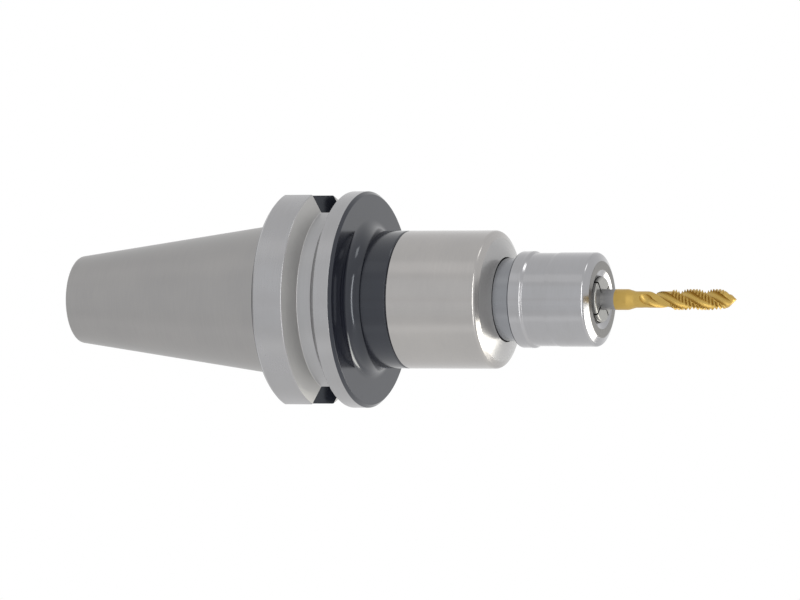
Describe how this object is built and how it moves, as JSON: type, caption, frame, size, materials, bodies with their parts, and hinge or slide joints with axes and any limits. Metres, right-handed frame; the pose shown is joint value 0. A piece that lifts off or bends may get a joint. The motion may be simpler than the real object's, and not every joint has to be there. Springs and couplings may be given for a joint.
{
  "type": "synchronous tap holder",
  "caption": "Steep-taper tap holder with a floating ball-driven spindle, collet, clamping nut and spiral-fluted machine tap.",
  "frame": {"origin": "centre of the gauge plane of the 7/24 taper, where its diameter is 44.45 mm", "axes": "+X along the tool axis from the taper towards the tap's tip, +Z towards one of the two drive slots"},
  "size_m": [0.205, 0.063, 0.063],
  "materials": {
    "ground_steel": "ground, with black oxide on its front face, neck ring and slots",
    "polished_steel": "fine ground and polished",
    "hardened_steel": "hardened and ground",
    "collet_steel": "hardened spring steel, ground",
    "ball_steel": "polished",
    "bronze": "machined bearing bronze",
    "black_rubber": "moulded nitrile",
    "damper_rubber": "moulded polyurethane",
    "coated_tap": "gold titanium nitride coating on ground high-speed steel, grey shank end"
  },
  "bodies": {
    "holder": {"shank_body": "ground_steel", "housing_sleeve": "polished_steel", "rear_guide_bush": "bronze", "front_guide_bush": "bronze", "front_wiper_seal": "black_rubber", "sleeve_o_ring": "black_rubber", "coolant_tube": "hardened_steel", "tube_static_o_ring": "black_rubber", "compression_damper": "damper_rubber", "tension_damper": "damper_rubber"},
    "floating_spindle": {"spindle": "hardened_steel", "rear_thrust_washer": "hardened_steel", "front_thrust_washer": "hardened_steel", "length_stop_screw": "hardened_steel", "tube_sliding_o_ring": "black_rubber"},
    "ball_set": {"ball_cage": "bronze", "drive_balls": "ball_steel"},
    "collet": {"tap_collet": "collet_steel"},
    "nut": {"collet_nut": "polished_steel", "extraction_ring": "hardened_steel"},
    "tap": {"tap": "coated_tap"}
  },
  "joints": [
    {"name": "spindle_float", "type": "slide", "parent": "holder", "child": "floating_spindle", "axis": [1, 0, 0], "range_m": [-0.0005, 0.0005], "stiffness_N_per_m": 100000, "deforming": ["compression_damper", "tension_damper"]},
    {"name": "ball_roll", "type": "slide", "parent": "holder", "child": "ball_set", "axis": [1, 0, 0], "range_m": [-0.00025, 0.00025]},
    {"name": "collet_draw", "type": "slide", "parent": "floating_spindle", "child": "collet", "axis": [1, 0, 0], "range_m": [0, 0.002]},
    {"name": "nut_turn", "type": "hinge", "parent": "collet", "child": "nut", "pos_m": [0.086, 0, 0], "axis": [1, 0, 0], "range_deg": [0, 720.01]},
    {"name": "tap_withdrawal", "type": "slide", "parent": "collet", "child": "tap", "axis": [1, 0, 0], "range_m": [0, 0.024]}
  ],
  "couplings": [
    {"joint": "ball_roll", "follows": "spindle_float", "ratio": 0.5},
    {"joint": "nut_turn", "follows": "collet_draw", "rad_per_m": 6283.2}
  ]
}
